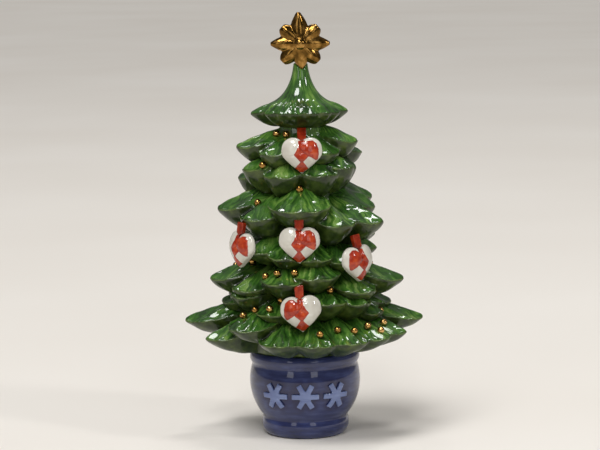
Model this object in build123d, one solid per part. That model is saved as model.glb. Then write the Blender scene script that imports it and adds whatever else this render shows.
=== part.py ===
from build123d import *

import os
from math import acos, cos, radians, sin, sqrt
from typing import NamedTuple

# A glazed porcelain Christmas tree in a round pot. The hollow pot carries a hollow tapered trunk, rings
# of boughs are slipped over the trunk and bedded one on another, a lobed spire caps it and a star stands in
# the spire. Woven-heart ornaments on short hangers and gilded beads sit in seats cut in the boughs.
# Millimetres, +Z up, origin at the centre of the foot. The front faces -Y.
# An azimuth is in degrees from the front, positive towards +X.

# Pot
pot_height = 30.0
foot_radius = 13.4
foot_ring_radius = 15.5
foot_ring_height = 4.4
waist_radius = 14.8
waist_height = 6.6
belly_radius = 19.6
belly_height = 19.0
neck_radius = 18.6
rim_radius = 19.5
rim_depth = 4.4
pot_wall = 3.0
floor_thickness = 3.5
vent_radius = 3.0
ledge_depth = 2.5
ledge_width = 1.5

# Raised sprigs on the front of the belly
sprig_relief = 0.8
sprig_reach = 4.8
sprig_arm_width = 1.9
sprig_arms = 6
sprig_height = 16.2
sprig_spread = 33.0

# Trunk, a hollow cone on a flange that lies in the pot's mouth
trunk_base_radius = 16.0
trunk_top_radius = 3.4
trunk_into_spire = 8.0
trunk_wall = 2.4
luting_gap = 0.1

# Sleeve of each ring, from which its boughs spring, and the share of the trunk's radius where they start
sleeve_wall = 2.2
bough_root_share = 0.8

# Collar under the lowest ring, which closes the pot's mouth
collar_height = 8.0
collar_flare = 4.0

# Spire, a trumpet with a round hem and lobes that stand out of it
spire_neck_radius = 2.5
spire_flare_radius = 11.0
spire_flare_rise = 3.5
spire_trumpet_height = 14.0
spire_hem_thickness = 5.6
spire_foot_radius = 8.0
spire_lobe_root = 4.4

# Star, which stands on a peg in the spire
star_stand = 6.8
star_forward = 1.6
star_half_thickness = 2.4
star_dome_radius = 2.3
star_dome_stand = 1.3
star_peg_radius = 1.2
star_peg_reach = 13.0

# Hearts, their hangers and the beads
heart_width = 14.0
heart_height = 12.6
heart_lobe_radius = 4.0
heart_thickness = 4.2
heart_dome_radius = 17.0
hanger_width = 3.2
hanger_thickness = 1.8
hanger_sink = 2.1
bead_radius = 1.35
bead_stand = 0.5
seat_gap = 0.05


class Tier(NamedTuple):
    """A ring of boughs. rim is the height of its tips above the pot's rim, rise and drop are how far the
    boughs swell above and below that height, and each bough is its azimuth, extra reach, extra height and
    share of the half width."""

    rim: float
    reach: float
    rise: float
    drop: float
    half_width: float
    boughs: tuple


TIERS = {
    "tier_1": Tier(11.0, 37.0, 10.0, 6.5, 9.0, (
        (-89, 5.2, 0.3, 0.9), (-64, 1.0, -4.0, 0.85), (-41, -0.5, 0.6, 1.0), (-16, -1.5, -4.0, 1.0),
        (8, -1.5, -4.2, 1.0), (31, -1.0, -4.0, 1.0), (50, 0.0, -3.6, 0.9), (68, 1.2, -3.0, 0.85),
        (91, 5.2, 0.0, 0.9), (117, 1.0, -3.0, 1.0), (146, 0.0, -2.0, 1.05), (177, -1.0, -3.0, 1.05),
        (-149, 0.0, -2.0, 1.05), (-117, 1.0, -3.0, 1.0))),
    "tier_2": Tier(19.0, 29.5, 8.0, 8.0, 8.0, (
        (-88, -0.5, -1.0, 1.0), (-54, 0.5, 3.0, 1.0), (-28, -0.5, -2.5, 0.9), (-4, -1.5, -3.0, 0.9),
        (21, 0.5, 1.5, 0.95), (45, 1.0, 0.5, 0.95), (66, 0.5, -4.0, 0.9), (92, 1.5, -2.0, 1.0),
        (123, 0.0, 0.5, 1.1), (153, -0.5, -1.5, 1.05), (-177, 0.5, 1.0, 1.05), (-148, -0.5, -1.5, 1.05),
        (-119, 0.0, 0.5, 1.1))),
    "tier_3": Tier(27.0, 31.0, 9.0, 7.5, 8.5, (
        (-79, 2.5, 0.0, 0.95), (-50, -0.5, -2.5, 0.95), (-17, -1.0, 0.5, 1.0), (11, -1.0, 2.4, 1.0),
        (49, 0.0, -3.5, 1.0), (80, 4.5, -1.0, 0.95), (112, 0.0, -1.5, 1.1), (144, 2.0, 0.5, 1.1),
        (177, 0.5, -1.0, 1.1), (-146, 2.0, 0.5, 1.1), (-111, 0.0, -1.5, 1.1))),
    "tier_4": Tier(36.5, 25.5, 8.5, 6.0, 7.0, (
        (-84, -1.0, -1.0, 1.1), (-44, 0.5, 1.0, 1.0), (-15, 2.0, -0.5, 1.0), (10, 2.0, -1.0, 1.0),
        (37, 1.5, -2.5, 0.95), (62, 0.0, -3.0, 0.9), (87, 0.5, 0.0, 0.9), (107, 1.0, 4.0, 0.9),
        (138, 0.0, -0.5, 1.15), (171, 0.5, 1.0, 1.15), (-154, -0.5, -1.0, 1.15), (-119, 1.0, 1.0, 1.15))),
    "tier_5": Tier(50.0, 27.5, 9.5, 9.0, 8.5, (
        (-81, 2.5, 1.5, 0.95), (-48, -1.0, -1.0, 1.0), (-3, 0.5, 2.6, 1.25), (33, -0.5, -3.0, 0.9),
        (65, 3.0, -3.0, 0.95), (92, -2.0, 1.0, 0.85), (114, -1.0, 3.5, 0.9), (146, 1.0, 0.0, 1.1),
        (178, -0.5, -1.0, 1.1), (-150, 1.0, 1.0, 1.1), (-117, -2.0, 3.0, 1.1))),
    "tier_6": Tier(65.0, 20.5, 7.0, 10.0, 7.0, (
        (-70, 1.5, 0.5, 1.0), (-27, -0.5, -1.5, 1.05), (23, -0.5, -1.0, 1.05), (58, 0.0, 1.0, 0.95),
        (93, -1.5, 0.0, 0.95), (128, 1.5, -1.0, 1.05), (165, 0.0, 0.0, 1.05), (-157, 0.5, -1.0, 1.05),
        (-128, -0.5, 1.0, 0.9), (-102, 2.5, -3.5, 0.9))),
    "tier_7": Tier(73.0, 20.0, 6.5, 8.0, 6.5, (
        (-82, 3.0, 0.0, 1.0), (-42, -1.0, -2.0, 1.0), (-4, -2.5, -1.0, 1.05), (34, -2.5, -2.0, 1.0),
        (77, 0.0, 1.5, 1.0), (119, 4.0, -3.5, 1.0), (155, 1.0, 0.0, 1.05), (-167, 0.0, -1.0, 1.0),
        (-126, 1.0, -0.5, 1.15))),
}
SPIRE = Tier(84.0, 14.0, 10.3, 4.8, 3.9, (
    (-89, 3.8, 0.0, 1.1), (-58, 0.5, 0.3, 1.0), (-32, 0.0, 0.5, 1.0), (-7, -0.3, 0.5, 1.0),
    (18, -0.2, 0.5, 1.0), (43, 0.0, 0.5, 1.0), (66, 0.4, 0.3, 1.0), (90, 2.4, 0.5, 1.1),
    (120, 0.2, 0.3, 1.05), (150, 0.5, 0.3, 1.05), (180, 0.0, 0.5, 1.05), (-150, 0.5, 0.3, 1.05),
    (-120, 0.2, 0.3, 1.05)))

# Sections of a bough from its root to its tip: share of its length, share of its half width, then its lip
# and its top as shares of the rise and its underside as a share of the drop.
BOUGH_FORM = (
    (0.00, 0.50, 0.45, 1.00, 1.00),
    (0.40, 0.95, 0.28, 0.68, 1.00),
    (0.72, 1.00, 0.10, 0.38, 0.72),
    (0.92, 0.60, 0.00, 0.16, 0.34),
    (1.00, 0.20, 0.00, 0.05, 0.08),
)
SPIRE_FORM = (
    (0.00, 0.45, 0.40, 0.60, 0.80),
    (0.35, 0.75, 0.18, 0.38, 1.00),
    (0.62, 1.00, 0.10, 0.30, 0.80),
    (0.85, 0.80, 0.04, 0.17, 0.42),
    (1.00, 0.30, 0.00, 0.06, 0.12),
)
# Sections of a star's point: share of its length, of its half width and of the star's half thickness.
LONG_POINT_FORM = ((0.0, 0.75, 1.0), (0.45, 1.0, 0.92), (0.8, 0.6, 0.62), (1.0, 0.2, 0.25))
SHORT_POINT_FORM = ((0.0, 0.75, 1.0), (0.5, 1.0, 0.9), (0.85, 0.8, 0.68), (1.0, 0.45, 0.4))
# The star's points: angle from the right-hand one, length and half width.
LONG_POINTS = ((93, 11.0, 3.4), (0, 10.4, 3.1), (180, 10.4, 3.1), (272, 9.2, 3.0))
SHORT_POINTS = ((42, 8.7, 2.9), (138, 8.7, 2.9), (226, 9.0, 2.9), (314, 9.0, 2.9))

# Hearts: place, azimuth, height of the middle above the pot's rim, reach of the front and sideways lean,
# then the length of the hanger and the degrees by which it leans back to the bough above.
HEARTS = (
    ("front_top", 0, 70.4, 19.3, 0, 10.6, 58),
    ("front_left", -55, 37.7, 29.2, -4, 7.0, 8),
    ("front_middle", -3, 40.3, 27.8, 0, 6.5, 4),
    ("front_right", 45, 32.8, 29.8, 4, 7.6, 14),
    ("front_low", -2, 17.0, 31.4, 5, 7.3, 20),
    ("back_top", 178, 69.5, 20.2, 0, 12.4, 58),
    ("back_left", -140, 36.5, 28.6, 3, 7.4, 14),
    ("back_right", 143, 36.0, 28.6, -3, 6.8, 14),
    ("back_low", 176, 15.5, 32.2, 0, 6.5, 5),
)
# Beads by the ring that carries them: azimuth and share of the ring's reach.
BEADS = {
    "tier_1": (
        (10, 0.83), (24, 0.76), (34, 0.83), (47, 0.81), (51, 0.92), (63, 0.84), (78, 0.74), (-41, 0.7),
        (-47, 0.78), (-78, 0.63), (112, 0.82), (127, 0.84), (150, 0.82), (-172, 0.84), (-148, 0.82),
        (-122, 0.82)),
    "tier_2": (
        (22, 0.82), (41, 0.78), (-22, 0.72), (-26, 0.92), (120, 0.86), (146, 0.86), (-140, 0.86),
        (-105, 0.88)),
    "tier_3": (
        (-70, 0.61), (-32, 0.8), (-21, 0.82), (-7, 0.81), (108, 0.8), (122, 0.82), (165, 0.8),
        (-158, 0.8), (-105, 0.8)),
    "tier_5": ((-3, 0.62), (-55, 0.69), (98, 0.49), (142, 0.66), (-150, 0.64)),
    "tier_6": ((-50, 0.87), (130, 0.8), (-128, 0.8)),
    "tier_7": ((-66, 0.48), (-42, 0.4), (150, 0.68), (-152, 0.7)),
}


def trunk_height():
    """The height of the trunk's top above the pot's rim."""
    return SPIRE.rim + trunk_into_spire


def trunk_radius(height):
    """The trunk's outer radius at a height above the pot's rim."""
    return trunk_base_radius + (trunk_top_radius - trunk_base_radius) * height / trunk_height()


def facing(azimuth, reach, height, lean=0):
    """A plane that looks outwards at an azimuth, with its own y up, leaned sideways in itself."""
    a = radians(azimuth)
    out = (sin(a), -cos(a), 0)
    level = (cos(a), sin(a), 0)
    return Plane((reach * out[0], reach * out[1], height), x_dir=level, z_dir=out) * Rot(0, 0, lean)


def cone(base_radius, top_radius, base, height):
    """A cone on the tree's axis that starts at a height."""
    return Pos(0, 0, base + height / 2) * Cone(base_radius, top_radius, height)


def disc(radius, base, height):
    """A cylinder on the tree's axis that starts at a height."""
    return Pos(0, 0, base + height / 2) * Cylinder(radius, height)


def bulge(half_width, lip, peak):
    """A curve from one lip to the other that bulges up or down to its peak."""
    pull_weight = 3 / 4
    pull = lip + (peak - lip) / pull_weight
    shoulder = 0.45 * half_width
    return Bezier((-half_width, lip), (-shoulder, pull), (shoulder, pull), (half_width, lip))


def bell(half_width, lip, peak):
    """A curve from one lip to the other that sweeps up to a round ridge, as a tent's roof does."""
    pull_weight = 20 / 64
    pull = lip + (peak - lip) / pull_weight
    skirt = 0.7 * half_width
    flank = 0.38 * half_width
    left = ((-half_width, lip), (-skirt, lip), (-flank, lip))
    right = ((flank, lip), (skirt, lip), (half_width, lip))
    return Bezier(*left, (0, pull), *right)


def bough_section(roof, half_width, lip, top, bottom):
    return make_face(roof(half_width, lip, top) + bulge(half_width, lip, bottom))


def petal(half_width, half_thickness):
    return make_face(bulge(half_width, 0, half_thickness) + bulge(half_width, 0, -half_thickness))


def along_x(distance, height=0):
    """A station across a piece that is built along +X."""
    return Plane((distance, 0, height), x_dir=(0, 1, 0), z_dir=(1, 0, 0))


def bough(tier, form, roof, root, place):
    azimuth, extra_reach, extra_height, width_share = place
    tip = pot_height + tier.rim + extra_height
    length = tier.reach + extra_reach - root
    half_width = tier.half_width * width_share
    sections = [
        along_x(root + share * length, tip)
        * bough_section(roof, width * half_width, lip * tier.rise, top * tier.rise, -under * tier.drop)
        for share, width, lip, top, under in form
    ]
    return Rot(0, 0, azimuth - 90) * loft(sections)


def ring_of_boughs(tier, form, roof, root):
    first, *others = [bough(tier, form, roof, root, place) for place in tier.boughs]
    return first.fuse(*others)


def pot_blank(grow=0.0):
    """The pot's outer form without its hollow: foot ring, belly and rolled rim, grown outwards."""
    foot = (foot_radius + grow, 0)
    waist = (waist_radius + grow, waist_height)
    neck = (neck_radius + grow, pot_height - rim_depth)
    rim = (neck_radius + grow, pot_height)
    outline = (
        ThreePointArc(foot, (foot_ring_radius + grow, foot_ring_height), waist)
        + ThreePointArc(waist, (belly_radius + grow, belly_height), neck)
        + ThreePointArc(neck, (rim_radius + grow, pot_height - rim_depth / 2), rim)
        + Polyline(rim, (0, pot_height), (0, 0), foot)
    )
    return revolve(Plane.XZ * make_face(outline), Axis.Z)


def make_pot():
    hollow = Polyline(
        (0, floor_thickness),
        (foot_radius - pot_wall, floor_thickness),
        (belly_radius - pot_wall, belly_height),
        (neck_radius - pot_wall, pot_height),
        (0, pot_height),
        (0, floor_thickness),
    )
    cavity = revolve(Plane.XZ * make_face(hollow), Axis.Z)
    ledge = disc(neck_radius - ledge_width, pot_height - ledge_depth, ledge_depth)
    vent = disc(vent_radius, 0, floor_thickness)
    return pot_blank() - cavity - ledge - vent


def make_sprig(azimuth):
    """A raised six-armed figure that lies on the pot's belly."""
    arm = Rectangle(2 * sprig_reach, sprig_arm_width)
    figure = Sketch() + [Rot(0, 0, 360 / sprig_arms * turn) * arm for turn in range(sprig_arms // 2)]
    stamp = facing(azimuth, 0, sprig_height) * extrude(figure, 2 * belly_radius)
    return (pot_blank(sprig_relief) & stamp) - pot_blank()


def trunk_blank(grow=0.0):
    return cone(trunk_base_radius + grow, trunk_top_radius + grow, pot_height, trunk_height() + grow)


def make_trunk():
    bottom = pot_height - ledge_depth
    flange = disc(neck_radius - ledge_width - luting_gap, bottom, ledge_depth)
    core = cone(trunk_base_radius - trunk_wall, trunk_top_radius - trunk_wall, bottom, trunk_height())
    return trunk_blank() + flange - core


def tier_blank(tier):
    """A ring of boughs on the sleeve that carries them."""
    bottom = tier.rim - tier.drop
    top = tier.rim + tier.rise
    lower = trunk_radius(bottom) + sleeve_wall
    upper = trunk_radius(top) + sleeve_wall
    sleeve = cone(lower, upper, pot_height + bottom, top - bottom)
    return sleeve.fuse(ring_of_boughs(tier, BOUGH_FORM, bell, bough_root_share * trunk_radius(tier.rim)))


def make_collar():
    return cone(neck_radius, neck_radius + collar_flare, pot_height + luting_gap, collar_height)


def spire_top():
    return pot_height + SPIRE.rim + spire_flare_rise + spire_trumpet_height


def spire_blank():
    """A trumpet from the neck down to a round hem, with the lobes that stand out of the hem."""
    top = spire_top()
    flare = top - spire_trumpet_height
    foot = pot_height + SPIRE.rim - SPIRE.drop
    hem_top = (spire_flare_radius, flare)
    hem_bottom = (spire_flare_radius, flare - spire_hem_thickness)
    neck = (spire_neck_radius, top)
    high_pull = (1.28 * spire_neck_radius, flare + 0.42 * spire_trumpet_height)
    low_pull = (0.62 * spire_flare_radius, flare + 0.12 * spire_trumpet_height)
    outline = (
        Bezier(neck, high_pull, low_pull, hem_top)
        + TangentArc(hem_top, hem_bottom, tangent=Vector(*hem_top) - Vector(*low_pull))
        + Polyline(hem_bottom, (spire_foot_radius, foot), (0, foot), (0, top), neck)
    )
    trumpet = revolve(Plane.XZ * make_face(outline), Axis.Z)
    return trumpet.fuse(ring_of_boughs(SPIRE, SPIRE_FORM, bulge, spire_lobe_root))


def star_point(form, angle, length, half_width):
    sections = [
        along_x(share * length) * petal(width * half_width, depth * star_half_thickness)
        for share, width, depth in form
    ]
    return Rot(0, -angle, 0) * Rot(90, 0, 0) * loft(sections)


def make_star():
    """Eight ridged points round a dome, on a peg."""
    figure = Pos(0, -star_dome_stand, 0) * Sphere(star_dome_radius)
    for point in LONG_POINTS:
        figure += star_point(LONG_POINT_FORM, *point)
    for point in SHORT_POINTS:
        figure += star_point(SHORT_POINT_FORM, *point)
    middle = spire_top() + star_stand
    peg = disc(star_peg_radius, middle - star_peg_reach, star_peg_reach)
    return Pos(0, -star_forward, middle) * figure + peg


def heart_outline(grow):
    """Two round lobes, with straight sides that touch them and meet in the tip."""
    lobe = heart_lobe_radius + grow
    apart = heart_width / 2 - heart_lobe_radius
    level = heart_height / 2 - heart_lobe_radius
    tip = -heart_height / 2 - grow
    span = sqrt(apart**2 + (level - tip) ** 2)
    turn = acos(lobe / span) - acos((level - tip) / span)
    touch_x = apart + lobe * sin(turn)
    touch_y = level - lobe * cos(turn)
    corners = (apart, level), (-apart, level), (-touch_x, touch_y), (0, tip), (touch_x, touch_y)
    body = Polygon(*corners, align=None)
    return Pos(-apart, level) * Circle(lobe) + Pos(apart, level) * Circle(lobe) + body


def heart_blank(grow=0.0):
    """A heart with a domed front, whose middle lies at the origin and faces +Z."""
    slab = Pos(0, 0, -heart_thickness - grow) * extrude(heart_outline(grow), heart_thickness + 2 * grow)
    dome = Pos(0, 0, -heart_dome_radius) * Rot(90, 0, 0) * Sphere(heart_dome_radius + grow)
    return slab & dome


def heart_notch():
    """The height of the bottom of the notch between a heart's lobes."""
    apart = heart_width / 2 - heart_lobe_radius
    return heart_height / 2 - heart_lobe_radius + sqrt(max(heart_lobe_radius**2 - apart**2, 0))


def hanger_blank(length, tilt, grow=0.0):
    """A strap that stands in a heart's notch and leans back to the bough above."""
    strap = Box(hanger_width + 2 * grow, length + 2 * grow, hanger_thickness + 2 * grow)
    foot = Pos(0, heart_notch() - hanger_sink, -heart_thickness / 2)
    return foot * Rot(-tilt, 0, 0) * Pos(0, length / 2, 0) * strap


def bead_places(name, ring):
    """The middles of a ring's beads, a little above its boughs."""
    places = []
    for azimuth, share in BEADS.get(name, ()):
        spot = facing(azimuth, share * TIERS[name].reach, 0).position
        hits = ring.find_intersection_points(Axis(spot, (0, 0, 1)))
        roof = max(point.Z for point, normal in hits)
        places.append((spot.X, spot.Y, roof + bead_stand))
    return places


def near(shape, others):
    """Those of the others whose boxes meet the box of the shape."""
    box = shape.bounding_box()
    return [other for other in others if box.overlaps(other.bounding_box())]


def main_lump(shape):
    """The piece itself, without the chips that its seats cut loose."""
    return max(shape.solids(), key=lambda solid: solid.volume)


def make_hearts():
    """Each heart with its hanger, and the seats that they leave in the boughs."""
    heart = heart_blank()
    heart_seat = heart_blank(seat_gap)
    pieces = {}
    seats = []
    for name, azimuth, height, reach, lean, length, tilt in HEARTS:
        place = facing(azimuth, reach, pot_height + height, lean)
        pieces[f"heart_{name}"] = place * heart
        pieces[f"hanger_{name}"] = place * (hanger_blank(length, tilt) - heart_seat)
        seats += [place * heart_seat, place * hanger_blank(length, tilt, seat_gap)]
    return pieces, seats


def make_rings(seats):
    """The rings from the lowest to the spire, each bored for the trunk and bedded on the one below."""
    bore = trunk_blank(luting_gap)
    pot_room = disc(3 * rim_radius, 0, pot_height + luting_gap)
    blanks = {name: tier_blank(tier) for name, tier in TIERS.items()}
    blanks["tier_1"] = blanks["tier_1"].fuse(make_collar())
    blanks["spire"] = spire_blank()
    pieces = {}
    bed = pot_room
    lower_seats = []
    for name, blank in blanks.items():
        bored = main_lump(blank.cut(bore))
        ring = main_lump(bored.cut(bed))
        middles = bead_places(name, ring)
        own_seats = [Pos(*middle) * Sphere(bead_radius + seat_gap) for middle in middles]
        pieces[name] = main_lump(ring.cut(*near(ring, seats + lower_seats + own_seats)))
        if middles:
            pieces[f"{name}_beads"] = Compound([Pos(*middle) * Sphere(bead_radius) for middle in middles])
        bed = bored
        lower_seats = own_seats
    return pieces


def make_parts():
    parts = {"pot": make_pot(), "trunk": make_trunk(), "star": make_star()}
    for place, azimuth in (("left", -sprig_spread), ("middle", 0), ("right", sprig_spread)):
        parts[f"pot_sprig_{place}"] = make_sprig(azimuth)
    hearts, seats = make_hearts()
    return parts | hearts | make_rings(seats + [parts["star"]])


if __name__ == "__main__":
    os.makedirs("parts", exist_ok=True)
    for node, shape in make_parts().items():
        export_step(shape, f"parts/{node}.step")
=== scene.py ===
from math import cos, radians, sin

import bmesh
import bpy
import numpy as np
from mathutils import Matrix, Vector, noise
from mathutils.kdtree import KDTree


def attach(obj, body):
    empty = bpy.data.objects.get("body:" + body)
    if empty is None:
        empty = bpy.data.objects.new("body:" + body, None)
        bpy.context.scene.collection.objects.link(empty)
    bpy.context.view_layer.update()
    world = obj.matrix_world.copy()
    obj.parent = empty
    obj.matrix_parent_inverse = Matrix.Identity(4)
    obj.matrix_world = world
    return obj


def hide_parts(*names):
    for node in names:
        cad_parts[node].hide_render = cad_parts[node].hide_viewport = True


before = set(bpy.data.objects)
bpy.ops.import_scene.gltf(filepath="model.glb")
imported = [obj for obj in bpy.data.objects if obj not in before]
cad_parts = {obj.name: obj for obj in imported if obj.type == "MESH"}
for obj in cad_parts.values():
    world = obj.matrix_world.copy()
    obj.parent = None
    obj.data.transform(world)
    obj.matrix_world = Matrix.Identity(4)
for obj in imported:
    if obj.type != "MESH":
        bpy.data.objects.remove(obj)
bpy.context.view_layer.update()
scene = bpy.context.scene
MM = 0.001

# Sizes in the tables below are in millimetres, and angles in degrees.
# Azimuths of each ring's boughs, from the front and positive towards +X.
BOUGHS = {
    "tier_1": (-89, -64, -41, -16, 8, 31, 50, 68, 91, 117, 146, 177, -149, -117),
    "tier_2": (-88, -54, -28, -4, 21, 45, 66, 92, 123, 153, -177, -148, -119),
    "tier_3": (-79, -50, -17, 11, 49, 80, 112, 144, 177, -146, -111),
    "tier_4": (-84, -44, -15, 10, 37, 62, 87, 107, 138, 171, -154, -119),
    "tier_5": (-81, -48, -3, 33, 65, 92, 114, 146, 178, -150, -117),
    "tier_6": (-70, -27, 23, 58, 93, 128, 165, -157, -128, -102),
    "tier_7": (-82, -42, -4, 34, 77, 119, 155, -167, -126),
}
# The skin of each kind of piece: the size of its voxels, and the rounds of smoothing.
RING_SKIN = (0.41, 12)
SPIRE_SKIN = (0.4, 6)
HEART_SKIN = (0.25, 6)
STRAP_SKIN = (0.2, 6)
STAR_SKIN = (0.16, 12)
BEAD_SKIN = (0.18, 4)
POT_SKIN = (0.4, 6)
SPRIG_SKIN = (0.2, 5)
# Rounds of averaging against which a piece's edges and its hollows are measured.
BOUGH_FORM = (3, 30)
HEART_FORM = (3, 30)
STRAP_FORM = (3, 20)
POT_FORM = (6, 40)
SPRIG_FORM = (4, 20)
# Where an underside turns into a top: the upward share of the normals at either end of the turn, and the
# rounds of averaging before it is measured.
RING_TOP = (0.02, 0.3)
SPIRE_TOP = (0.0, 0.25)
TOP_ROUNDS = 6
# How the glazed boughs drape: the width of a fold at the hem, its depth, and the depth of the hem's notches.
DRAPE_WIDTHS = {"tier_1": 5.2, "tier_2": 6.4}
DRAPE_WIDTH = 8.6
DRAPE_DEPTH = 0.7
NOTCH_DEPTH = 0.8
# How far the folds shift from bough to bough, and how far they waver along one, in widths of a fold.
FOLD_SHIFT = 0.15
FOLD_WAVER = 0.05
# Where the drape lies, as shares of the hem's reach: the pole from which the folds fan out, the stretch over
# which they deepen, and the start of the notches.
FAN_POLE = 0.3
FOLD_START = 0.4
FOLD_END = 0.9
NOTCH_START = 0.6
# The hem's reach is the one that this percentage of a ring's points stay within.
HEM_PERCENTILE = 97
# Two slight waves in the glaze: their depth, and their directions in radians to the millimetre.
RIPPLE_DEPTH = 0.08
RIPPLE_WAVES = ((0.9, 0.4, 0.5), (-0.5, 0.8, 0.7))
# Brush strokes: how they slant to a bough's ridge, and how far apart two boughs' strokes are in the pattern.
STROKE_SLANT = 0.35
STROKE_APART = 17.0
# The spire's flutes: their number and depth, their sway from even steps in radians, the power that shapes
# their section, and the distances from the axis between which they deepen.
FLUTES = 24
FLUTE_DEPTH = 0.4
FLUTE_SWAY = 0.06
FLUTE_POWER = 0.7
FLUTE_START = 4.0
FLUTE_END = 11.0
# The dark glaze round the sprigs: the distance from them at which it starts to fade, and its width.
HALO_CORE = 0.4
HALO_WIDTH = 2.2
# Gilding: how uneven it is, its swells to the millimetre, and how far in it lies, as a share of the swells.
STAR_SWELL = 0.02
BEAD_SWELL = 0.1
SWELL_SCALE = 0.8
SWELL_SINK = 0.6
# Hearts: azimuth, height of the middle, reach of the front, sideways lean, and the side that carries the
# red lobe of the weave.
HEARTS = {
    "front_top": (0, 100.4, 19.3, 0, 1),
    "front_left": (-55, 67.7, 29.2, -4, 1),
    "front_middle": (-3, 70.3, 27.8, 0, 1),
    "front_right": (45, 62.8, 29.8, 4, -1),
    "front_low": (-2, 47.0, 31.4, 5, -1),
    "back_top": (178, 99.5, 20.2, 0, 1),
    "back_left": (-140, 66.5, 28.6, 3, -1),
    "back_right": (143, 66.0, 28.6, -3, 1),
    "back_low": (176, 45.5, 32.2, 0, -1),
}
# The painted weave, from a heart's middle: the red outline, and the seams between its strips.
WEAVE = (
    (-1.3, 5.4), (-1.15, 3.6), (-2.55, 0.6), (-0.45, -1.85), (-2.35, -4.5), (-1.2, -5.5), (0.3, -5.7),
    (2.0, -4.3), (0.35, -1.75), (2.05, 0.1), (4.2, -1.4), (4.9, -1.2), (5.5, 0.3), (5.75, 2.4),
    (5.1, 4.4), (3.7, 5.5), (2.2, 5.4), (1.0, 4.5), (1.1, 5.4),
)
SEAMS = (((-1.2, 3.6), (1.9, 0.3)), ((-1.0, 4.6), (1.2, 4.7)), ((-0.5, -1.8), (0.4, -1.8)))
# A heart's face: its two lobes, the cheeks below them and its tip.
LOBE_RADIUS = 4.0
LOBE_APART = 3.0
LOBE_LEVEL = 2.3
CHEEK = 6.3
CHEEK_LEVEL = -0.1
HEART_TIP = -6.3
HEART_BODY = (
    (LOBE_APART, LOBE_LEVEL),
    (-LOBE_APART, LOBE_LEVEL),
    (-CHEEK, CHEEK_LEVEL),
    (0.0, HEART_TIP),
    (CHEEK, CHEEK_LEVEL),
)
# How the glaze fills a heart out: the width and depth of the pillow's slope, the stretch behind the face
# over which it sets in, the fullness of the cheeks, and the weave's relief with the stretch of its edge.
PILLOW_WIDTH = 3.4
PILLOW_DEPTH = 1.2
PILLOW_STRETCH = (-4.0, -1.5)
FULLNESS = 0.6
WEAVE_RELIEF = 0.14
WEAVE_EDGE = (-0.15, 0.3)
# The strap's width at its lower end, as a share of its full width.
STRAP_TAPER = 0.9
# The stage, in metres: the floor's radius, and the point of the tree that the lamps face.
FLOOR_RADIUS = 6.0
LAMP_AIM = (0, 0, 0.08)


def linear(*rgb):
    """A display colour, 0 to 255, as the shader's linear colour."""
    share = [value / 255 for value in rgb]
    return [v / 12.92 if v <= 0.04045 else ((v + 0.055) / 1.055) ** 2.4 for v in share] + [1.0]


class Shader:
    """One material's nodes."""

    def __init__(self, name):
        self.material = bpy.data.materials.new(name)
        self.material.use_nodes = True
        self.tree = self.material.node_tree
        self.bsdf = self.tree.nodes["Principled BSDF"]

    def node(self, kind, **settings):
        made = self.tree.nodes.new(f"ShaderNode{kind}")
        for key, value in settings.items():
            setattr(made, key, value)
        return made

    def put(self, socket, value):
        if isinstance(value, bpy.types.NodeSocket):
            self.tree.links.new(value, socket)
        else:
            socket.default_value = value

    def attribute(self, name):
        return self.node("Attribute", attribute_name=name).outputs["Fac"]

    def place(self):
        """The point in millimetres."""
        scaled = self.node("VectorMath", operation="SCALE")
        self.put(scaled.inputs[0], self.node("TexCoord").outputs["Object"])
        scaled.inputs["Scale"].default_value = 1 / MM
        return scaled.outputs[0]

    def point(self, x, y, z):
        made = self.node("CombineXYZ")
        for socket, value in zip(made.inputs, (x, y, z)):
            self.put(socket, value)
        return made.outputs[0]

    def math(self, operation, a, b, c=0.0):
        made = self.node("Math", operation=operation)
        for socket, value in zip(made.inputs, (a, b, c)):
            self.put(socket, value)
        return made.outputs[0]

    def band(self, value, low, high, start=0.0, end=1.0):
        """Rises smoothly from start to end as the value goes from low to high."""
        made = self.node("MapRange", interpolation_type="SMOOTHSTEP")
        for socket, item in zip(made.inputs, (value, low, high, start, end)):
            self.put(socket, item)
        return made.outputs[0]

    def noise(self, vector, scale, detail=2.0, roughness=0.5):
        made = self.node("TexNoise")
        self.put(made.inputs["Vector"], vector)
        made.inputs["Scale"].default_value = scale
        made.inputs["Detail"].default_value = detail
        made.inputs["Roughness"].default_value = roughness
        return made.outputs["Fac"]

    def ramp(self, value, *stops):
        made = self.node("ValToRGB")
        elements = made.color_ramp.elements
        while len(elements) < len(stops):
            elements.new(0.5)
        for element, (position, colour) in zip(elements, stops):
            element.position = position
            element.color = colour
        self.put(made.inputs[0], value)
        return made.outputs[0]

    def mix(self, share, a, b):
        made = self.node("Mix", data_type="RGBA")
        self.put(made.inputs[0], share)
        self.put(made.inputs[6], a)
        self.put(made.inputs[7], b)
        return made.outputs[2]

    def bump(self, height, distance, strength):
        made = self.node("Bump")
        made.inputs["Strength"].default_value = strength
        made.inputs["Distance"].default_value = distance * MM
        self.put(made.inputs["Height"], height)
        self.put(self.bsdf.inputs["Normal"], made.outputs[0])

    def glaze(self, colour, roughness, gloss):
        """Colour under a clear gloss glaze."""
        self.put(self.bsdf.inputs["Base Color"], colour)
        self.put(self.bsdf.inputs["Roughness"], roughness)
        self.bsdf.inputs["Specular IOR Level"].default_value = 0.1
        self.put(self.bsdf.inputs["Coat Weight"], gloss)
        self.bsdf.inputs["Coat Roughness"].default_value = 0.03
        self.bsdf.inputs["Coat IOR"].default_value = 1.6


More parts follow.
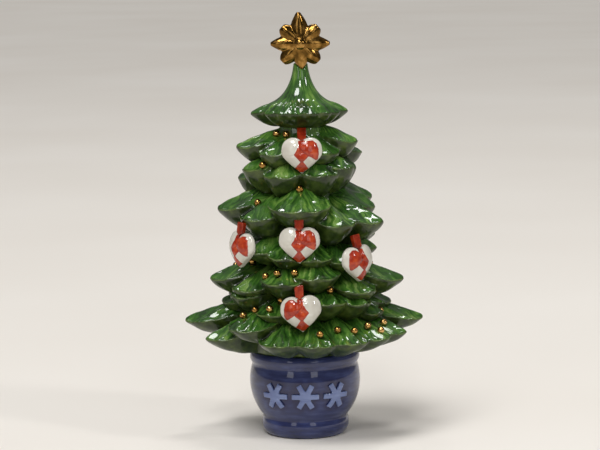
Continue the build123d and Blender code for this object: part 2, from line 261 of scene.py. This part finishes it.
def green_glaze():
    """Brushed green, thin and pale on the edges, thick and dark where it pooled, with painted shade in the
    hollows and on the undersides.
    """
    s = Shader("green_glaze")
    place = s.place()
    stroke = s.attribute("stroke")
    along = s.attribute("along")
    stray = s.math("MULTIPLY_ADD", s.noise(place, 0.3, 2.0), 5.0, stroke)
    strokes = s.point(s.math("MULTIPLY", stray, 0.6), s.math("MULTIPLY", along, 0.09), 0.0)
    fine = s.noise(strokes, 1.0, 3.0, 0.6)
    broad = s.noise(place, 0.14, 2.0)
    tone = s.math("MULTIPLY_ADD", fine, 0.6, s.math("MULTIPLY", broad, 0.4))
    leaf = s.ramp(
        tone,
        (0.32, linear(14, 32, 8)),
        (0.43, linear(31, 64, 16)),
        (0.52, linear(52, 94, 28)),
        (0.61, linear(94, 130, 52)),
        (0.74, linear(152, 170, 104)),
    )
    # The undersides: a plain olive without strokes, darkened as painted shade.
    under = s.ramp(
        s.noise(place, 0.3, 3.0),
        (0.3, linear(24, 36, 9)),
        (0.5, linear(43, 59, 18)),
        (0.72, linear(72, 87, 34)),
    )
    colour = s.mix(s.attribute("top"), under, leaf)
    colour = s.mix(s.band(s.attribute("edge"), 0.05, 0.14, 0.0, 0.5), colour, linear(128, 152, 88))
    # The hollows go near black: partly thick pooled glaze, partly painted shade.
    colour = s.mix(s.band(s.attribute("pool"), 0.04, 0.5, 0.0, 0.9), colour, linear(7, 15, 5))
    s.glaze(colour, s.band(fine, 0.3, 0.7, 0.35, 0.5), s.band(s.attribute("top"), 0.0, 1.0, 0.5, 1.0))
    s.bump(s.math("MULTIPLY", fine, s.attribute("top")), 0.2, 0.5)
    return s.material


def gold_lustre(name, dark, middle, pale):
    """Fired gold, paler and duller in patches."""
    s = Shader(name)
    place = s.place()
    thin = s.noise(place, 0.5, 2.0)
    colour = s.ramp(thin, (0.32, dark), (0.52, middle), (0.7, pale))
    s.put(s.bsdf.inputs["Base Color"], colour)
    s.bsdf.inputs["Metallic"].default_value = 1.0
    s.put(s.bsdf.inputs["Roughness"], s.band(thin, 0.3, 0.7, 0.1, 0.22))
    s.bump(s.noise(place, 0.45, 1.0), 0.05, 0.3)
    return s.material


def white_glaze():
    """White glaze with the red weave painted on it."""
    s = Shader("white_glaze")
    place = s.place()
    wobble = s.math("MULTIPLY_ADD", s.noise(place, 0.8, 2.0), 0.3, -0.15)
    inside = s.math("ADD", s.attribute("weave"), wobble)
    white = s.ramp(
        s.noise(place, 0.25, 2.0), (0.3, linear(188, 183, 171)), (0.7, linear(207, 204, 194))
    )
    # The white greys in the hollows: partly pooled glaze, partly painted shade.
    white = s.mix(s.band(s.attribute("pool"), 0.0, 0.5, 0.0, 0.5), white, linear(158, 152, 128))
    red = s.ramp(
        s.noise(place, 0.45, 3.0, 0.6),
        (0.32, linear(132, 30, 8)),
        (0.5, linear(158, 45, 16)),
        (0.68, linear(184, 72, 32)),
    )
    rim = s.band(inside, 0.1, 0.5, 0.3, 0.0)
    red = s.mix(rim, red, linear(138, 30, 18))
    red = s.mix(s.band(s.attribute("seam"), 0.1, 0.4, 0.6, 0.0), red, linear(122, 22, 10))
    painted = s.mix(s.band(inside, -0.06, 0.08), white, red)
    s.glaze(painted, 0.35, 0.7)
    s.bump(s.band(inside, -0.1, 0.25), 0.12, 0.6)
    return s.material


def red_enamel():
    """Uneven red, paler where it is thin on the edges."""
    s = Shader("red_enamel")
    place = s.place()
    red = s.ramp(
        s.noise(place, 0.5, 3.0, 0.6),
        (0.3, linear(100, 19, 5)),
        (0.5, linear(130, 35, 11)),
        (0.7, linear(154, 54, 22)),
    )
    red = s.mix(s.band(s.attribute("edge"), 0.02, 0.1, 0.0, 0.2), red, linear(168, 72, 40))
    s.glaze(red, 0.35, 0.5)
    s.bump(s.noise(place, 1.2, 2.0), 0.1, 0.4)
    return s.material


def blue_glaze(name, dark, middle, pale, relief):
    """Blue brushed round the pot, thin on the edges and dark in the hollows."""
    s = Shader(name)
    place = s.place()
    brushed = s.node("Mapping")
    s.put(brushed.inputs["Vector"], place)
    brushed.inputs["Scale"].default_value = (0.12, 0.12, 0.7)
    fine = s.noise(brushed.outputs[0], 1.0, 3.0)
    broad = s.noise(place, 0.15)
    tone = s.math("MULTIPLY_ADD", fine, 0.6, s.math("MULTIPLY", broad, 0.4))
    colour = s.ramp(tone, (0.32, dark), (0.5, middle), (0.7, pale))
    colour = s.mix(s.band(s.attribute("edge"), 0.0, relief, 0.0, 0.55), colour, linear(128, 138, 182))
    # The hollows darken: partly pooled cobalt, partly painted shade.
    colour = s.mix(s.band(s.attribute("pool"), 0.0, relief, 0.0, 0.75), colour, linear(26, 26, 70))
    colour = s.mix(s.math("MULTIPLY", s.attribute("halo"), 0.8), colour, linear(20, 20, 66))
    s.glaze(colour, 0.4, 0.8)
    s.bump(tone, 0.12, 0.2)
    return s.material


def bisque():
    """Bare fired clay."""
    s = Shader("bisque")
    grain = s.noise(s.place(), 2.5, 4.0, 0.65)
    clay = s.ramp(grain, (0.3, linear(214, 206, 194)), (0.7, linear(236, 230, 220)))
    s.put(s.bsdf.inputs["Base Color"], clay)
    s.bsdf.inputs["Roughness"].default_value = 0.85
    s.bump(grain, 0.06, 0.4)
    return s.material


def floor_material():
    s = Shader("pale_floor")
    tone = s.ramp(
        s.noise(s.place(), 0.004, 2.0), (0.3, linear(230, 224, 216)), (0.7, linear(235, 230, 223))
    )
    s.put(s.bsdf.inputs["Base Color"], tone)
    s.bsdf.inputs["Roughness"].default_value = 0.6
    return s.material


def skinned(node, voxel, rounds):
    """A copy of a node's mesh under one even skin, rounded as its glaze rounds it. Sizes in millimetres."""
    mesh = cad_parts[node].data.copy()
    mesh.materials.clear()
    work = bmesh.new()
    work.from_mesh(mesh)
    bmesh.ops.remove_doubles(work, verts=work.verts, dist=1e-7)
    work.to_mesh(mesh)
    work.free()
    piece = bpy.data.objects.new(f"{node}_glazed", mesh)
    scene.collection.objects.link(piece)
    skin = piece.modifiers.new("skin", "REMESH")
    skin.mode = "VOXEL"
    skin.voxel_size = voxel * MM
    glaze = piece.modifiers.new("glaze", "SMOOTH")
    glaze.factor = 0.5
    glaze.iterations = rounds
    shown = piece.evaluated_get(bpy.context.evaluated_depsgraph_get())
    made = bpy.data.meshes.new_from_object(shown)
    piece.modifiers.clear()
    piece.data = made
    made.name = piece.name
    bpy.data.meshes.remove(mesh)
    made.shade_smooth()
    return piece


def points(mesh):
    """The vertices, in millimetres."""
    flat = np.empty(3 * len(mesh.vertices))
    mesh.vertices.foreach_get("co", flat)
    return flat.reshape(-1, 3) / MM


def move_points(mesh, place):
    mesh.vertices.foreach_set("co", (place * MM).ravel())
    mesh.update()


def normals(mesh):
    flat = np.empty(3 * len(mesh.vertices))
    mesh.vertex_normals.foreach_get("vector", flat)
    return flat.reshape(-1, 3)


def relaxed(mesh, values, rounds):
    """Values at the vertices, averaged with their neighbours so many times."""
    flat = np.empty(2 * len(mesh.edges), int)
    mesh.edges.foreach_get("vertices", flat)
    a, b = flat.reshape(-1, 2).T
    count = len(mesh.vertices)
    degree = np.maximum(np.bincount(a, minlength=count) + np.bincount(b, minlength=count), 1)
    columns = values.reshape(count, -1).T
    for _ in range(rounds):
        columns = [
            0.5 * column
            + 0.5 * (np.bincount(a, column[b], count) + np.bincount(b, column[a], count)) / degree
            for column in columns
        ]
    return np.array(columns).T.reshape(values.shape)


def keep(mesh, **values):
    """Stores values at the vertices for the materials."""
    for name, value in values.items():
        mesh.attributes.new(name, "FLOAT", "POINT").data.foreach_set("value", value.astype(np.float32))


def keep_form(mesh, fine, wide):
    """How far each point stands out as an edge, and how deep it lies in a hollow, in millimetres."""
    place = points(mesh)
    outward = normals(mesh)
    edge = ((place - relaxed(mesh, place, fine)) * outward).sum(1)
    # How deep each point lies in a hollow: the glazes darken there, partly as pooled glaze and partly as
    # painted shade.
    pool = -((place - relaxed(mesh, place, wide)) * outward).sum(1)
    keep(mesh, edge=relaxed(mesh, edge, 1), pool=relaxed(mesh, pool, 2))


def smoothstep(value, low, high):
    share = np.clip((value - low) / (high - low), 0, 1)
    return share * share * (3 - 2 * share)


def finish(piece, material, slot, *nodes):
    piece.data.materials.append(material)
    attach(piece, "root")
    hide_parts(*nodes)


def bough_frame(place, azimuths):
    """Each point's distance along and across the bough that it belongs to, and that bough's number."""
    azimuth = np.degrees(np.arctan2(place[:, 0], -place[:, 1]))
    reach = np.hypot(place[:, 0], place[:, 1])
    turn = (azimuth[:, None] - np.array(azimuths) + 180) % 360 - 180
    own = np.abs(turn).argmin(1)
    angle = np.radians(turn[np.arange(len(own)), own])
    return reach * np.cos(angle), reach * np.sin(angle), own


def make_ring(name, material):
    """A ring of boughs, draped between ridges that fan out over each bough to the corners of its hem."""
    piece = skinned(name, *RING_SKIN)
    mesh = piece.data
    place = points(mesh)
    outward = normals(mesh)
    along, across, own = bough_frame(place, BOUGHS[name])
    reach = np.hypot(place[:, 0], place[:, 1])
    hem = np.percentile(reach, HEM_PERCENTILE)
    pole = FAN_POLE * hem
    fan = np.arctan2(across, np.maximum(along - pole, 1.0)) * (hem - pole)
    drift = FOLD_SHIFT * np.sin(2.4 * own) + FOLD_WAVER * np.sin(0.5 * along + own)
    sag = np.abs(np.sin(np.pi * (fan / DRAPE_WIDTHS.get(name, DRAPE_WIDTH) + drift)))
    top = smoothstep(relaxed(mesh, outward[:, 2], TOP_ROUNDS), *RING_TOP)
    run = smoothstep(along, FOLD_START * hem, FOLD_END * hem)
    first, second = RIPPLE_WAVES
    ripple = np.sin(place @ first + own) + np.sin(place @ second) - 2
    drape = DRAPE_DEPTH * run * sag * top + RIPPLE_DEPTH * ripple
    inward = -place * (1, 1, 0) / np.maximum(reach, 1)[:, None]
    notch = NOTCH_DEPTH * sag * top * smoothstep(along, NOTCH_START * hem, hem)
    shift = inward * notch[:, None] - outward * drape[:, None]
    move_points(mesh, place + relaxed(mesh, shift, 2))
    stroke = np.abs(fan) - STROKE_SLANT * along
    keep(mesh, stroke=stroke + STROKE_APART * own, along=along, top=top)
    keep_form(mesh, *BOUGH_FORM)
    finish(piece, material, "green_glaze", name)


def make_spire(material):
    """The spire, with flutes that run down the trumpet and end in nubs round the hem."""
    piece = skinned("spire", *SPIRE_SKIN)
    mesh = piece.data
    place = points(mesh)
    outward = normals(mesh)
    along = np.hypot(place[:, 0], place[:, 1])
    azimuth = np.arctan2(place[:, 0], -place[:, 1])
    uneven = azimuth + FLUTE_SWAY * np.sin(3.0 * azimuth + 1.0)
    flute = np.abs(np.sin(0.5 * FLUTES * uneven)) ** FLUTE_POWER
    top = smoothstep(relaxed(mesh, outward[:, 2], TOP_ROUNDS), *SPIRE_TOP)
    run = smoothstep(along, FLUTE_START, FLUTE_END)
    shift = outward * (FLUTE_DEPTH * run * top * (flute - 1))[:, None]
    move_points(mesh, place + relaxed(mesh, shift, 1))
    keep(mesh, stroke=azimuth * FLUTE_END, along=place[:, 2], top=top)
    keep_form(mesh, *BOUGH_FORM)
    finish(piece, material, "green_glaze", "spire")


def heart_axes(azimuth, height, reach, lean, side):
    """A heart's middle and its own axes: sideways towards the red lobe, up and out."""
    a = radians(azimuth)
    level = np.array((cos(a), sin(a), 0))
    rise = np.array((0, 0, 1))
    out = np.array((sin(a), -cos(a), 0))
    lean = radians(lean)
    sideways = level * cos(lean) + rise * sin(lean)
    up = rise * cos(lean) - level * sin(lean)
    return reach * out + height * rise, np.array((side * sideways, up, out))


def to_line(place, start, end):
    """Distance from points to a line between two points."""
    start = np.array(start)
    step = np.array(end) - start
    share = np.clip((place - start) @ step / (step @ step), 0, 1)
    return np.linalg.norm(place - start - share[:, None] * step, axis=1)


def depth_inside(place, outline):
    """How far points lie inside an outline, negative outside it."""
    pairs = list(zip(outline, outline[1:] + outline[:1]))
    inside = np.zeros(len(place), bool)
    for (x0, y0), (x1, y1) in pairs:
        if y0 != y1:
            crosses = (place[:, 1] < y0) != (place[:, 1] < y1)
            inside ^= crosses & (place[:, 0] < x0 + (x1 - x0) * (place[:, 1] - y0) / (y1 - y0))
    gap = np.min([to_line(place, start, end) for start, end in pairs], 0)
    return np.where(inside, gap, -gap)


def heart_depth(flat):
    """How far points of a heart's face lie inside its outline."""
    lobes = LOBE_RADIUS - np.hypot(np.abs(flat[:, 0]) - LOBE_APART, flat[:, 1] - LOBE_LEVEL)
    return np.maximum(lobes, depth_inside(flat, HEART_BODY))


def make_heart(name, material):
    """A pillowed heart with its raised weave."""
    middle, axes = heart_axes(*HEARTS[name])
    piece = skinned(f"heart_{name}", *HEART_SKIN)
    mesh = piece.data
    own = (points(mesh) - middle) @ axes.T
    flat = own[:, :2].copy()
    weave = depth_inside(flat, WEAVE)
    slope = 1 - np.clip(heart_depth(flat) / PILLOW_WIDTH, 0, 1)
    front = smoothstep(own[:, 2], *PILLOW_STRETCH)
    fall = np.clip((flat[:, 1] - LOBE_LEVEL) / (HEART_TIP - LOBE_LEVEL), 0, 1)
    own[:, 0] += FULLNESS * np.sin(np.pi * fall) * np.clip(flat[:, 0] / LOBE_APART, -1, 1)
    bare = 1 - smoothstep(weave, *WEAVE_EDGE)
    own[:, 2] -= front * (PILLOW_DEPTH * slope**2 + WEAVE_RELIEF * bare)
    move_points(mesh, own @ axes + middle)
    seam = np.min([to_line(flat, start, end) for start, end in SEAMS], 0)
    keep(mesh, weave=weave, seam=seam)
    keep_form(mesh, *HEART_FORM)
    finish(piece, material, "white_glaze", f"heart_{name}")


def make_strap(name, material):
    """The strap of a heart, which tapers down into its notch."""
    middle, axes = heart_axes(*HEARTS[name])
    piece = skinned(f"hanger_{name}", *STRAP_SKIN)
    mesh = piece.data
    own = (points(mesh) - middle) @ axes.T
    share = smoothstep(own[:, 1], own[:, 1].min(), own[:, 1].max())
    own[:, 0] *= STRAP_TAPER + (1 - STRAP_TAPER) * share
    move_points(mesh, own @ axes + middle)
    keep_form(mesh, *STRAP_FORM)
    finish(piece, material, "red_enamel", f"hanger_{name}")


def make_gilded(name, skin, rough, material):
    """A gilded piece, uneven as fired lustre over hand-set clay is."""
    piece = skinned(name, *skin)
    mesh = piece.data
    place = points(mesh)
    swell = np.array([noise.noise(Vector(spot) * SWELL_SCALE) for spot in place])
    move_points(mesh, place + normals(mesh) * (rough * (swell - SWELL_SINK))[:, None])
    finish(piece, material, "gold_lustre", name)


def make_pot(glaze, relief):
    """The pot and its raised sprigs, with dark glaze round them."""
    pot = skinned("pot", *POT_SKIN)
    sprigs = [skinned(f"pot_sprig_{side}", *SPRIG_SKIN) for side in ("left", "middle", "right")]
    raised = np.concatenate([points(sprig.data) for sprig in sprigs])
    tree = KDTree(len(raised))
    for index, spot in enumerate(raised):
        tree.insert(spot, index)
    tree.balance()
    gap = np.array([tree.find(spot)[2] for spot in points(pot.data)])
    keep_form(pot.data, *POT_FORM)
    keep(pot.data, halo=1 - smoothstep(gap, HALO_CORE, HALO_WIDTH))
    finish(pot, glaze, "blue_glaze", "pot")
    for sprig in sprigs:
        keep_form(sprig.data, *SPRIG_FORM)
        keep(sprig.data, halo=np.zeros(len(sprig.data.vertices)))
        finish(sprig, relief, "pale_blue_glaze", sprig.name.removesuffix("_glazed"))


def lamp(name, place, size, power):
    """A lit window pane that faces the tree."""
    light = bpy.data.lights.new(name, "AREA")
    light.shape = "RECTANGLE"
    light.size, light.size_y = size
    light.energy = power
    made = bpy.data.objects.new(name, light)
    made.location = place
    made.rotation_euler = (Vector(LAMP_AIM) - place).to_track_quat("-Z", "Y").to_euler()
    scene.collection.objects.link(made)


def set_floor():
    floor_mesh = bpy.data.meshes.new("floor")
    work = bmesh.new()
    bmesh.ops.create_circle(work, cap_ends=True, segments=96, radius=FLOOR_RADIUS)
    work.to_mesh(floor_mesh)
    work.free()
    floor = bpy.data.objects.new("floor", floor_mesh)
    floor.data.materials.append(floor_material())
    scene.collection.objects.link(floor)


def set_light():
    """A pale room, soft daylight, and pairs of window panes for the glaze to mirror."""
    world = bpy.data.worlds.new("studio")
    scene.world = world
    world.use_nodes = True
    backdrop = world.node_tree.nodes["Background"]
    backdrop.inputs["Color"].default_value = linear(236, 234, 230)
    backdrop.inputs["Strength"].default_value = 0.22

    sky = bpy.data.lights.new("sky", "SUN")
    sky.energy = 1.75
    sky.angle = radians(24)
    daylight = bpy.data.objects.new("sky", sky)
    daylight.rotation_euler = Vector((0.3, 0.35, -0.9)).to_track_quat("-Z", "Y").to_euler()
    scene.collection.objects.link(daylight)

    # Each pair's middle, the step from there to a pane, the panes' width and height, and their power.
    panes = (
        ("front", (-0.16, -1.1, 1.16), (0.07, 0, 0), (0.09, 0.36), 2.6),
        ("side", (1.1, -0.64, 0.92), (-0.04, 0.06, 0), (0.09, 0.36), 2.0),
        ("top", (0.2, 0.24, 1.52), (0.07, 0, 0), (0.09, 0.36), 2.0),
        ("back", (-0.28, 0.72, 1.36), (0.07, 0, 0), (0.09, 0.36), 0.6),
        ("low", (-0.16, -1.24, 0.6), (0.6, 0, 0), (0.36, 0.68), 1.2),
    )
    for name, place, apart, size, power in panes:
        for side in (-1, 1):
            lamp(f"pane_{name}_{side}", Vector(place) + side * Vector(apart), size, power)


def set_camera():
    """A long lens a little above the tree, framed and tilted as the photograph is."""
    elevation = radians(7.5)
    distance = 0.9
    roll = radians(-0.85)
    target = Vector((-0.001, 0, 0.0742))
    place = target + distance * Vector((0, -cos(elevation), sin(elevation)))
    camera = bpy.data.cameras.new("camera")
    camera.sensor_width = 36.0
    camera.lens = 153.0
    made = bpy.data.objects.new("camera", camera)
    aim = (target - place).to_track_quat("-Z", "Y").to_matrix().to_4x4()
    made.matrix_world = Matrix.Translation(place) @ aim @ Matrix.Rotation(roll, 4, "Z")
    scene.collection.objects.link(made)
    scene.camera = made


scene.view_settings.view_transform = "Standard"
set_camera()
set_floor()
set_light()

green = green_glaze()
for ring in BOUGHS:
    make_ring(ring, green)
make_spire(green)
# One fired gold in two copies: the star's is browner and darkened as painted shade, the beads' is lighter.
bronzed_and_shaded = gold_lustre("star_lustre", linear(88, 64, 27), linear(128, 94, 44), linear(178, 136, 74))
make_gilded("star", STAR_SKIN, STAR_SWELL, bronzed_and_shaded)
gold = gold_lustre("bead_lustre", linear(138, 100, 48), linear(188, 142, 78), linear(214, 174, 112))
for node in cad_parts:
    if node.endswith("_beads"):
        make_gilded(node, BEAD_SKIN, BEAD_SWELL, gold)
white = white_glaze()
red = red_enamel()
for heart in HEARTS:
    make_heart(heart, white)
    make_strap(heart, red)
make_pot(
    blue_glaze("blue_glaze", linear(22, 28, 68), linear(35, 44, 90), linear(60, 71, 118), 0.4),
    blue_glaze("pale_blue_glaze", linear(84, 98, 146), linear(104, 119, 164), linear(128, 142, 184), 0.2),
)
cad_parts["trunk"].data.materials.clear()
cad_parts["trunk"].data.materials.append(bisque())
